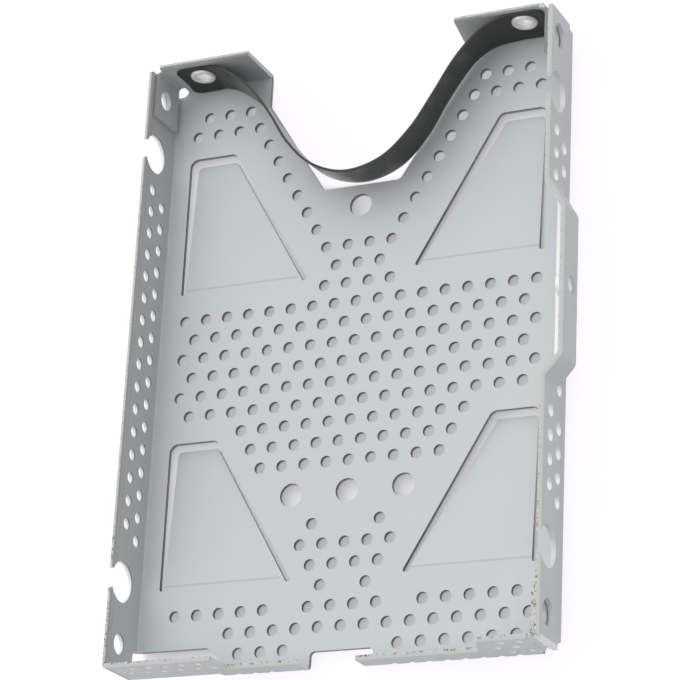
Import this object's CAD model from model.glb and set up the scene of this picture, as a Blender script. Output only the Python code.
"""Looks of the hard drive mounting bracket: plated tray, glossy black pull strap, bright eyelets."""

import math

import bpy
from mathutils import Matrix, Vector


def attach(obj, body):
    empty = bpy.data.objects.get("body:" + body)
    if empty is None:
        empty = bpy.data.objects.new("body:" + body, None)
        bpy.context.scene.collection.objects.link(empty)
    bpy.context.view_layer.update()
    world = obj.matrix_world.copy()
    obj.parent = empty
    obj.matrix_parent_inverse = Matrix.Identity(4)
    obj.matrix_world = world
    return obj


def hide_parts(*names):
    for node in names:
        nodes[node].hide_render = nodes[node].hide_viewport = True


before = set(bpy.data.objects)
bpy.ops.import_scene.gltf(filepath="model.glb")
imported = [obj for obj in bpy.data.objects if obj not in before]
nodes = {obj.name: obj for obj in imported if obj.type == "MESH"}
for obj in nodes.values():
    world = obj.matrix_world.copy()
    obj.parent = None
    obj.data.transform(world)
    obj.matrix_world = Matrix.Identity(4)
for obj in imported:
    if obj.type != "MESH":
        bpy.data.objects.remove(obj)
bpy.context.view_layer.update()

MM = 0.001

# Sizes repeated from the part, in millimetres
SHEET = 0.8
WALL_IN_X = 36.6
WALL_TOP_Z = 9.4
TOP_FOLD_IN_Y = 53.0
TOP_FOLD_TOP_Z = 8.7
LOW_FOLD_OUT_Y = -53.4
LOW_FOLD_STEP_Z = 3.9
TAB_TOP_Z = 8.6
BULGE_OUT = 2.85
BULGE_TOP = (21.6, 16.6)
BULGE_LOW = (-11.2, -8.0)
TONGUE_CREASES = (14.7, -37.7)
TONGUE_ROOT_X = (11.2, 32.2)
SCREW_PLACES_Y = (34.5, 52.0)
EYELET_X = (-28.9, 30.9)
EYELET_Z = 5.4
EYELET_HOLE_R = 1.5

# Half section of a rolled eyelet: radius and place along Y, from the peened back through the bore
EYELET_LINE = [
    (1.28, 54.15),
    (1.28, 52.75),
    (1.33, 52.45),
    (1.45, 52.24),
    (1.62, 52.12),
    (1.8, 52.1),
    (1.98, 52.16),
    (2.12, 52.3),
    (2.19, 52.48),
    (2.19, 52.6),
    (1.45, 52.6),
    (1.45, 53.8),
    (1.95, 53.8),
    (1.98, 53.95),
    (1.8, 54.12),
]
EYELET_FLANGE_Y = (52.0, 52.65)

# The strap: its section, its two riveted ends and the points where it leaves the fold
STRAP_THICK = 0.4
STRAP_SOFT_EDGE = 0.07
STRAP_Y = 52.8
STRAP_LEAN = 0.5
STRAP_LOW = 0.4
STRAP_HIGH = 8.35
STRAP_KNEE = 0.277
STRAP_CORNER = 1.2
STRAP_END = (-33.1, 34.8)
STRAP_LEAVE = (-26.6, 28.6)
STRAP_LEAD = 1.5
STRAP_HIGH_DEPTH = 23.9
STRAP_LOW_DEPTH = 21.9
STRAP_END_SHARE = 0.09
STRAP_GRID = (150, 16)

# The strap's hanging loop at its upper and lower edge, as in the part: shares of its span and depth
STRAP_HIGH_LOOP = [
    (0.062, 0.059),
    (0.154, 0.234),
    (0.228, 0.460),
    (0.293, 0.703),
    (0.379, 0.904),
    (0.493, 1.000),
    (0.611, 0.937),
    (0.703, 0.749),
    (0.772, 0.515),
    (0.833, 0.289),
    (0.888, 0.138),
    (0.940, 0.042),
]
STRAP_LOW_LOOP = [
    (0.058, 0.059),
    (0.145, 0.242),
    (0.216, 0.493),
    (0.290, 0.735),
    (0.384, 0.927),
    (0.502, 1.000),
    (0.616, 0.913),
    (0.699, 0.694),
    (0.755, 0.452),
    (0.806, 0.256),
    (0.855, 0.110),
    (0.917, 0.023),
]

# Colours of the plated sheet
ZINC_DARK = (0.585, 0.612, 0.632)
ZINC_LIGHT = (0.625, 0.648, 0.665)
ZINC_GRAIN = (0.55, 0.58, 0.60)
ZINC_CREASE = (0.36, 0.37, 0.38)
SHEARED = (0.66, 0.64, 0.59)
FRECKLE = (0.17, 0.125, 0.085)
RIM_SHADED = (0.27, 0.28, 0.28)
RIM_LIT = (0.57, 0.585, 0.59)
BURR = (0.74, 0.73, 0.71)
CUT_AT_FACE = (0.05, 0.052, 0.05)
CUT_AT_BACK = (0.6, 0.6, 0.6)
RIGHT_HOLES = (0.97, 0.97, 0.96)
RIGHT_SCREW_PLACES = (0.7, 0.71, 0.7)
LEFT_HOLES_INSIDE = (0.2, 0.2, 0.19)
LEFT_HOLES_OUTSIDE = (0.97, 0.97, 0.97)
FOLD_HOLES = (0.86, 0.87, 0.87)

# Colours of the strap and of the eyelets
FILM_DARK = (0.04, 0.041, 0.038)
FILM_WORN = (0.064, 0.066, 0.06)
EYELET_BRIGHT = (0.98, 0.98, 0.97)
EYELET_DULL = (0.88, 0.87, 0.84)

# Floor: the places that the tray covers and its two open places, in millimetres
FLOOR_Z = -2.34
FLOOR_SIZE_M = 6.0
COVER_X = (-37.0, 35.2)
COVER_Y = (-52.2, 53.0)
NOTCH_X = -1.1
NOTCH_FOOT_Y = 31.0
NOTCH_HALF_WIDTH = 8.0
NOTCH_FLARE = 0.64
CUT_OUT_X = (-7.0, 5.8)
CUT_OUT_Y = (-56.0, -48.6)
PAPER = (0.92, 0.92, 0.92, 1)
PAPER_GLOW = (0.985, 0.955, 1.0, 1)
GLOW_STRENGTH = 1.12
GLOW_OPEN = 0.8
GLOW_COVERED = 0.3

# Room: the direction of its brightest part, and how its light rises towards that direction
WINDOW_SIDE = (-0.3, 0.3, 0.9)
WINDOW_SPREAD = (0.2, 0.95)
ROOM_STRENGTH = (0.34, 1.4)
ROOM_COLOUR = (0.99, 1.0, 1.0, 1)

# The photograph's camera: focal length in pixels, width of the picture, place in metres, directions
FOCAL_PX = 2751.12
PHOTO_PX = 680
SENSOR_MM = 36.0
CAMERA_PLACE = (0.182956, -0.159696, 0.381552)
CAMERA_RIGHT = Vector((0.90609257, 0.04763555, -0.42038923))
CAMERA_DOWN = Vector((-0.10993051, -0.93300484, -0.342662))
CAMERA_AHEAD = Vector((-0.40854807, 0.3566971, -0.84015216))


class Value:
    """A shader socket that takes part in ordinary arithmetic by adding Math nodes."""

    def __init__(self, sheet, socket):
        self.sheet = sheet
        self.socket = socket

    def _math(self, operation, *inputs, clamp=False):
        return self.sheet.math(operation, *inputs, clamp=clamp)

    def __add__(self, other):
        return self._math("ADD", self, other)

    def __radd__(self, other):
        return self._math("ADD", other, self)

    def __sub__(self, other):
        return self._math("SUBTRACT", self, other)

    def __rsub__(self, other):
        return self._math("SUBTRACT", other, self)

    def __mul__(self, other):
        return self._math("MULTIPLY", self, other)

    def __rmul__(self, other):
        return self._math("MULTIPLY", other, self)

    def __truediv__(self, other):
        return self._math("DIVIDE", self, other)

    def __neg__(self):
        return self._math("MULTIPLY", self, -1.0)

    def __abs__(self):
        return self._math("ABSOLUTE", self)

    def __gt__(self, other):
        return self._math("GREATER_THAN", self, other)

    def __lt__(self, other):
        return self._math("LESS_THAN", self, other)

    def least(self, other):
        return self._math("MINIMUM", self, other)

    def most(self, other):
        return self._math("MAXIMUM", self, other)

    def unit(self):
        """The same value held between nought and one."""
        return self._math("ADD", self, 0.0, clamp=True)


class Sheet:
    """A node tree under construction."""

    def __init__(self, tree):
        self.tree = tree
        tree.nodes.clear()

    def put(self, socket, value):
        if isinstance(value, Value):
            value = value.socket
        if isinstance(value, bpy.types.NodeSocket):
            self.tree.links.new(value, socket)
        else:
            socket.default_value = value

    def node(self, kind, settings, **inputs):
        """Any node: its settings are set first, then the values or links of its sockets."""
        made = self.tree.nodes.new(kind)
        for key, value in settings.items():
            setattr(made, key, value)
        for key, value in inputs.items():
            self.put(made.inputs[key.replace("_", " ")], value)
        return made

    def math(self, operation, *inputs, clamp=False):
        made = self.node("ShaderNodeMath", {"operation": operation, "use_clamp": clamp})
        for socket, value in zip(made.inputs, inputs):
            self.put(socket, value)
        return Value(self, made.outputs[0])

    def likeness(self, first, second):
        """Dot product of two directions."""
        made = self.node("ShaderNodeVectorMath", {"operation": "DOT_PRODUCT"})
        self.put(made.inputs[0], first)
        self.put(made.inputs[1], second)
        return Value(self, made.outputs["Value"])


class Finish(Sheet):
    """A material under construction: its nodes, its place in millimetres and its surface shader."""

    def __init__(self, name):
        self.material = bpy.data.materials.new(name)
        self.material.use_nodes = True
        super().__init__(self.material.node_tree)
        self.place = self.node("ShaderNodeTexCoord", {}).outputs["Object"]
        parts = self.node("ShaderNodeSeparateXYZ", {}, Vector=self.place).outputs
        self.x, self.y, self.z = (Value(self, part) * (1 / MM) for part in parts)

    def true_normal(self):
        return self.node("ShaderNodeNewGeometry", {}).outputs["True Normal"]

    def facing(self, axis):
        """How squarely the surface faces along an axis: one straight on, nought edge on."""
        parts = self.node("ShaderNodeSeparateXYZ", {}, Vector=self.true_normal())
        return abs(Value(self, parts.outputs[axis]))

    def sharp(self, reach):
        """One on sharp corners of the sheet, fading to nought over the reach in millimetres."""
        rounded = self.node("ShaderNodeBevel", {"samples": 4}, Radius=reach * MM)
        return ((1 - self.likeness(rounded.outputs[0], self.true_normal())) * 4.0).unit()

    def noise(self, scale, detail=3.0, roughness=0.5, stretch=(1, 1, 1)):
        """Cloudy value about one half; scale is counted per millimetre."""
        per_mm = tuple(s / MM for s in stretch)
        turned = self.node("ShaderNodeMapping", {}, Vector=self.place, Scale=per_mm)
        made = self.node(
            "ShaderNodeTexNoise",
            {"noise_dimensions": "3D"},
            Vector=turned.outputs[0],
            Scale=scale,
            Detail=detail,
            Roughness=roughness,
        )
        return Value(self, made.outputs[0])

    def mix(self, share, first, second):
        """Blend of two colours."""
        made = self.node("ShaderNodeMix", {"data_type": "RGBA", "clamp_factor": True})
        self.put(made.inputs[0], share)
        for socket, colour in ((made.inputs[6], first), (made.inputs[7], second)):
            self.put(socket, (*colour, 1.0) if isinstance(colour, tuple) else colour)
        return made.outputs[2]

    def band(self, value, low, high, soft):
        """One between low and high, fading to nought over the distance soft outside them."""
        rise = ((value - (low - soft)) / soft).unit()
        fall = (((high + soft) - value) / soft).unit()
        return rise * fall

    def level(self, height, soft):
        """One on faces that lie at a height above the plate."""
        return self.band(self.z, height - 0.02, height + 0.02, soft)

    def within(self, value, span, soft=1.0):
        """One inside a span, fading to nought over the distance soft inside its two ends."""
        low, high = span
        return (((high - low) / 2 - abs(value - (low + high) / 2)) / soft).unit()

    def output(self, shader):
        self.node("ShaderNodeOutputMaterial", {}, Surface=shader.outputs[0])
        return self.material

    def surface(self, colour, roughness, metallic, height, depth, **constants):
        """Principled surface with a bump; the depth of the bump is in metres."""
        bump = self.node("ShaderNodeBump", {}, Strength=1.0, Distance=depth, Height=height)
        shader = self.node(
            "ShaderNodeBsdfPrincipled",
            {},
            Base_Color=colour,
            Roughness=roughness,
            Metallic=metallic,
            Normal=bump.outputs[0],
            **constants,
        )
        return self.output(shader)


def zinc_plated_sheet():
    """Satin plated steel with pale sheared edges, freckled brown where the plating is thin."""
    f = Finish("zinc_plated_sheet")
    cloud = f.noise(0.09, 4.0, 0.6)
    fine = f.noise(2.2, 2.0, 0.6)
    grain = f.noise(1.0, 3.0, 0.7, stretch=(6.0, 0.35, 3.0))
    freckle = ((f.noise(1.9, 4.0, 0.75) - 0.52) * 10.0).unit()
    sideways = f.facing("X")
    upright = 1 - f.facing("Z")
    in_wall = f.band(f.z, 1.0, WALL_TOP_Z - 0.2, 0.1)

    # Upper edges of the walls and folds
    rim = (f.z > WALL_TOP_Z - 0.02).most(f.level(TOP_FOLD_TOP_Z, 0.02) * (f.y > TOP_FOLD_IN_Y - 0.2))
    low_fold = (f.y < LOW_FOLD_OUT_Y + SHEET + 0.02) * f.level(LOW_FOLD_STEP_Z, 0.03)
    tab_top = f.level(TAB_TOP_Z, 0.02) * (abs(f.x) > WALL_IN_X - 1.0)
    edge = rim.most(low_fold).most(tab_top)

    # Across an edge: a cream sheared band on one side, the plating's own tone on the other
    bowed_top = ((BULGE_TOP[0] - f.y) / (BULGE_TOP[0] - BULGE_TOP[1])).unit()
    bowed_low = ((f.y - BULGE_LOW[0]) / (BULGE_LOW[1] - BULGE_LOW[0])).unit()
    wall_in = WALL_IN_X + BULGE_OUT * bowed_top * bowed_low * (f.x > 0.0)
    across_wall = (abs(f.x) - wall_in) / SHEET
    across_top = (f.y - TOP_FOLD_IN_Y) / SHEET
    across_low = (LOW_FOLD_OUT_Y + SHEET - f.y) / SHEET
    top = f.y > TOP_FOLD_IN_Y - 0.05
    low = f.y < LOW_FOLD_OUT_Y + SHEET + 0.05
    across = top * across_top + low * across_low + (1 - top) * (1 - low) * across_wall
    right_wall = (f.x > WALL_IN_X - 0.1).most((f.x > 0.0) * (f.y < 0.0))
    lit_side = (right_wall * (1 - top)).most(low)
    cream_inside = ((0.48 - across) * 6.0).unit()
    cream_outside = ((across - 0.42) * 6.0).unit()
    cream = lit_side * cream_inside + (1 - lit_side) * cream_outside
    low_half = f.band(f.y, -60.0, -38.0, 16.0)
    dirt = (freckle * (0.4 + 0.8 * low_half)).unit()
    sheared = f.mix(dirt, SHEARED, FRECKLE)
    sheared = f.mix(cream, f.mix(lit_side, RIM_SHADED, RIM_LIT), sheared)

    # The plating, with faint darker lines where the tongues are bent down
    plate = f.mix(cloud, ZINC_DARK, ZINC_LIGHT)
    plate = f.mix((fine - 0.5) * 0.25 + 0.1, plate, ZINC_GRAIN)
    crease = 0.0
    for crease_y in TONGUE_CREASES:
        crease = crease + f.band(f.y, crease_y - 0.12, crease_y + 0.12, 0.12)
    crease = crease * f.band(abs(f.x), *TONGUE_ROOT_X, 0.2) * (f.z > -0.05)
    plate = f.mix(crease * 0.35, plate, ZINC_CREASE)

    # Cut faces of the plate's openings, darkest next to the plate's upper face
    cut = f.band(f.z, -0.72, -0.05, 0.04) * (upright > 0.8) * (abs(f.x) < WALL_IN_X - 0.9)
    depth = (-f.z / SHEET).unit()
    plate = f.mix(cut, plate, f.mix(depth, CUT_AT_FACE, CUT_AT_BACK))

    # Cut faces of the openings in the right wall, the left wall and the lower fold
    right_cut = (f.x > WALL_IN_X - 0.02) * (sideways < 0.25) * in_wall
    screw_place = f.band(abs(f.y), *SCREW_PLACES_Y, 0.3)
    plate = f.mix(right_cut, plate, f.mix(screw_place, RIGHT_HOLES, RIGHT_SCREW_PLACES))
    left_cut = (f.x < 0.02 - WALL_IN_X) * (sideways < 0.25) * in_wall
    outside = ((across_wall - 0.22) * 5.0).unit()
    plate = f.mix(left_cut, plate, f.mix(outside, LEFT_HOLES_INSIDE, LEFT_HOLES_OUTSIDE))
    in_low_fold = (f.y < LOW_FOLD_OUT_Y + SHEET - 0.03) * (f.y > LOW_FOLD_OUT_Y + 0.03)
    plate = f.mix(in_low_fold * f.band(f.z, 0.5, 8.9, 0.1), plate, FOLD_HOLES)

    # The edges over the plating, and a thin bright burr along every other sharp corner
    colour = f.mix(edge, plate, sheared)
    burr = f.sharp(0.12) * (f.z > -0.3)
    colour = f.mix(burr * (1 - dirt) * (1 - edge) * 0.5, colour, BURR)

    rough = (0.46 + 0.08 * cloud + 0.05 * grain).unit() + edge * 0.25 + cut * 0.2
    metallic = 0.1 - edge * 0.08
    height = grain * 0.35 + fine * 0.2 + edge * freckle * 1.5
    return f.surface(colour, rough, metallic, height, 0.000006, Specular_IOR_Level=0.3)


def black_strap_film():
    """Black plastic film with a high gloss, slightly greyed by handling."""
    f = Finish("black_strap_film")
    smudge = f.noise(0.35, 3.0, 0.55)
    scuff = ((f.noise(1.4, 5.0, 0.7, stretch=(1.0, 1.0, 4.0)) - 0.6) * 5.0).unit()
    colour = f.mix(smudge * 0.6 + scuff * 0.3, FILM_DARK, FILM_WORN)
    rough = 0.22 + 0.08 * smudge + 0.12 * scuff
    return f.surface(colour, rough, 0.0, f.noise(0.3, 1.0), 0.000006, IOR=1.36)


def bright_eyelet():
    """Bright drawn metal, a little dulled on the flange."""
    f = Finish("bright_eyelet")
    turn = f.noise(3.0, 3.0, 0.6)
    flange = f.band(f.y, *EYELET_FLANGE_Y, 0.1)
    colour = f.mix(flange * turn, EYELET_BRIGHT, EYELET_DULL)
    rough = 0.26 + 0.08 * turn + 0.08 * flange
    return f.surface(colour, rough, 0.25, turn, 0.00001)


def studio_paper():
    """White paper that takes the tray's shadow, and glows to the eye and in reflections."""
    f = Finish("studio_paper")
    across = abs(f.x - NOTCH_X)
    along = f.y - NOTCH_FOOT_Y
    flank = along * NOTCH_FLARE + NOTCH_HALF_WIDTH - across
    closed_notch = 1 - flank.least(along).unit()
    closed_cut = 1 - f.within(f.x, CUT_OUT_X) * f.within(f.y, CUT_OUT_Y)
    cover = f.within(f.x, COVER_X) * f.within(f.y, COVER_Y) * closed_notch * closed_cut
    path = f.node("ShaderNodeLightPath", {}).outputs
    seen = Value(f, path["Is Camera Ray"]).most(path["Is Glossy Ray"])
    seen = seen.most(path["Is Transmission Ray"])
    matt = f.node("ShaderNodeBsdfDiffuse", {}, Color=PAPER)
    glow = f.node("ShaderNodeEmission", {}, Color=PAPER_GLOW, Strength=GLOW_STRENGTH)
    blend = f.node("ShaderNodeMixShader", {})
    f.put(blend.inputs[0], seen * (GLOW_OPEN - cover * (GLOW_OPEN - GLOW_COVERED)))
    f.put(blend.inputs[1], matt.outputs[0])
    f.put(blend.inputs[2], glow.outputs[0])
    return f.output(blend)


def paint(piece, material):
    piece.data.materials.clear()
    piece.data.materials.append(material)


def select_nothing():
    for other in bpy.context.selected_objects:
        other.select_set(False)


def only(piece):
    """Makes one piece the active and only selected one."""
    select_nothing()
    piece.select_set(True)
    bpy.context.view_layer.objects.active = piece


def smooth_point(points, share):
    """Point on a smooth line through the given points, at a share of its run of stations."""
    spans = len(points) - 1
    at = min(int(share * spans), spans - 1)
    t = share * spans - at
    p0, p1, p2, p3 = (Vector(points[min(max(at + step, 0), spans)]) for step in (-1, 0, 1, 2))
    lean_in = (p2 - p0) / 2
    lean_out = (p3 - p1) / 2
    h = 2 * t**3 - 3 * t**2
    return (h + 1) * p1 + (t**3 - 2 * t**2 + t) * lean_in - h * p2 + (t**3 - t**2) * lean_out


def loop_line(shares, start_y, depth):
    """Stations of the hanging loop, in millimetres, from one lift-off point to the other."""
    left, right = STRAP_LEAVE
    hanging = [(left + across * (right - left), start_y - down * depth) for across, down in shares]
    before = [(left - STRAP_LEAD, start_y), (left, start_y)]
    after = [(right, start_y), (right + STRAP_LEAD, start_y)]
    return before + hanging + after


def ribbon_place(along, z):
    """Middle of the film at a share of its run and a height above the plate."""
    up = (z - STRAP_LOW) / (STRAP_HIGH - STRAP_LOW)
    low_line = loop_line(STRAP_LOW_LOOP, STRAP_Y - STRAP_LEAN, STRAP_LOW_DEPTH)
    high_line = loop_line(STRAP_HIGH_LOOP, STRAP_Y, STRAP_HIGH_DEPTH)
    first = STRAP_END_SHARE
    if first <= along <= 1 - first:
        share = (along - first) / (1 - 2 * first)
        low = smooth_point(low_line, share)
        high = smooth_point(high_line, share)
        knee = low + STRAP_KNEE * (high - low)
        near_end = max(0.0, 1 - min(share, 1 - share) * len(low_line) / 2.2)
        knee.y += near_end * STRAP_LEAN * (1 - STRAP_KNEE)
    else:
        side = 0 if along < first else 1
        share = along / first if side == 0 else (1 - along) / first
        round_off = max(STRAP_CORNER - (z - STRAP_LOW), STRAP_CORNER - (STRAP_HIGH - z), 0.0)
        inset = STRAP_CORNER - math.sqrt(STRAP_CORNER**2 - round_off**2)
        end_x = STRAP_END[side] + (inset if side == 0 else -inset)
        start_x = (low_line[0] if side == 0 else low_line[-1])[0]
        x = end_x + share * (start_x - end_x)
        low = Vector((x, STRAP_Y - STRAP_LEAN))
        knee = high = Vector((x, STRAP_Y))
    if up < STRAP_KNEE:
        spot = low + up / STRAP_KNEE * (knee - low)
    else:
        spot = knee + (up - STRAP_KNEE) / (1 - STRAP_KNEE) * (high - knee)
    return Vector((spot.x, spot.y, z)) * MM


def pull_ribbon():
    """Flat film standing on its edge: riveted ends, then a loop hanging into the notch."""
    across, up = STRAP_GRID
    bpy.ops.mesh.primitive_grid_add(
        x_subdivisions=across, y_subdivisions=up, size=1.0, location=(0, 0, 0)
    )
    made = bpy.context.object
    made.name = "pull_ribbon"
    made.data.name = "pull_ribbon"
    for vertex in made.data.vertices:
        z = STRAP_LOW + (vertex.co.y + 0.5) * (STRAP_HIGH - STRAP_LOW)
        vertex.co = ribbon_place(vertex.co.x + 0.5, min(max(z, STRAP_LOW), STRAP_HIGH))
    made.data.update()
    thickness = made.modifiers.new("thickness", "SOLIDIFY")
    thickness.thickness = STRAP_THICK * MM
    thickness.offset = 0.0
    bpy.ops.object.modifier_apply(modifier="thickness")
    for x in EYELET_X:
        bpy.ops.mesh.primitive_cylinder_add(
            vertices=48,
            radius=EYELET_HOLE_R * MM,
            depth=4 * MM,
            location=(x * MM, STRAP_Y * MM, EYELET_Z * MM),
            rotation=(math.radians(90), 0, 0),
        )
        punch = bpy.context.object
        only(made)
        hole = made.modifiers.new("hole", "BOOLEAN")
        hole.object = punch
        hole.solver = "EXACT"
        bpy.ops.object.modifier_apply(modifier="hole")
        bpy.data.objects.remove(punch, do_unlink=True)
    soft = made.modifiers.new("soft_edge", "BEVEL")
    soft.width = STRAP_SOFT_EDGE * MM
    soft.segments = 2
    soft.limit_method = "ANGLE"
    soft.angle_limit = math.radians(50)
    bpy.ops.object.modifier_apply(modifier="soft_edge")
    bpy.ops.object.mode_set(mode="EDIT")
    bpy.ops.mesh.select_all(action="SELECT")
    bpy.ops.mesh.normals_make_consistent(inside=False)
    bpy.ops.object.mode_set(mode="OBJECT")
    bpy.ops.object.shade_smooth_by_angle(angle=math.radians(40))
    return made


def rolled_eyelet(x, name):
    """Thin tube through film and fold, rolled over at the front and peened at the back."""
    r, y = EYELET_LINE[0]
    bpy.ops.mesh.primitive_circle_add(
        vertices=56,
        radius=r * MM,
        fill_type="NOTHING",
        location=(x * MM, y * MM, EYELET_Z * MM),
        rotation=(math.radians(90), 0, 0),
    )
    made = bpy.context.object
    made.name = name
    made.data.name = name
    bpy.ops.object.transform_apply(location=True, rotation=True)
    bpy.ops.object.mode_set(mode="EDIT")
    bpy.ops.mesh.select_all(action="SELECT")
    for next_r, next_y in EYELET_LINE[1:] + EYELET_LINE[:1]:
        step = (0, (next_y - y) * MM, 0)
        bpy.ops.mesh.extrude_edges_move(TRANSFORM_OT_translate={"value": step})
        growth = next_r / r
        centre = (x * MM, next_y * MM, EYELET_Z * MM)
        bpy.ops.transform.resize(value=(growth, 1, growth), center_override=centre)
        r, y = next_r, next_y
    bpy.ops.mesh.select_all(action="SELECT")
    bpy.ops.mesh.remove_doubles(threshold=0.002 * MM)
    bpy.ops.mesh.normals_make_consistent(inside=False)
    bpy.ops.object.mode_set(mode="OBJECT")
    bpy.ops.object.shade_smooth_by_angle(angle=math.radians(45))
    return made


def studio_room():
    """A pale surround, brightest above and beyond the tray's far left corner."""
    world = bpy.data.worlds.new("studio_room")
    bpy.context.scene.world = world
    world.use_nodes = True
    room = Sheet(world.node_tree)
    where = room.node("ShaderNodeTexCoord", {}).outputs["Generated"]
    ramp = room.node(
        "ShaderNodeMapRange",
        {"interpolation_type": "SMOOTHSTEP"},
        Value=room.likeness(where, Vector(WINDOW_SIDE).normalized()),
        From_Min=WINDOW_SPREAD[0],
        From_Max=WINDOW_SPREAD[1],
        To_Min=ROOM_STRENGTH[0],
        To_Max=ROOM_STRENGTH[1],
    )
    air = room.node("ShaderNodeBackground", {}, Color=ROOM_COLOUR, Strength=ramp.outputs[0])
    room.node("ShaderNodeOutputWorld", {}, Surface=air.outputs[0])


def photo_camera():
    """Camera at the photograph's place."""
    lens = bpy.data.cameras.new("photo_camera")
    lens.sensor_fit = "HORIZONTAL"
    lens.sensor_width = SENSOR_MM
    lens.lens = FOCAL_PX / PHOTO_PX * SENSOR_MM
    lens.clip_start = 0.01
    lens.clip_end = 20.0
    lens.dof.use_dof = False
    camera = bpy.data.objects.new("photo_camera", lens)
    bpy.context.scene.collection.objects.link(camera)
    turn = Matrix((CAMERA_RIGHT, -CAMERA_DOWN, -CAMERA_AHEAD)).transposed()
    camera.matrix_world = Matrix.Translation(CAMERA_PLACE) @ turn.to_4x4()
    bpy.context.scene.camera = camera
    bpy.context.scene.view_settings.view_transform = "Standard"


select_nothing()
paint(nodes["tray"], zinc_plated_sheet())

for x, name in zip(EYELET_X, ("left", "right")):
    ring = rolled_eyelet(x, "rolled_eyelet_" + name)
    paint(ring, bright_eyelet())
    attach(ring, "root")
    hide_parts("strap_rivet_" + name)

ribbon = pull_ribbon()
paint(ribbon, black_strap_film())
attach(ribbon, "root")
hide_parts("pull_strap")

bpy.ops.mesh.primitive_plane_add(size=FLOOR_SIZE_M, location=(0, 0, FLOOR_Z * MM))
floor = bpy.context.object
floor.name = "studio_floor"
bpy.ops.object.transform_apply(location=True)
paint(floor, studio_paper())

studio_room()
photo_camera()
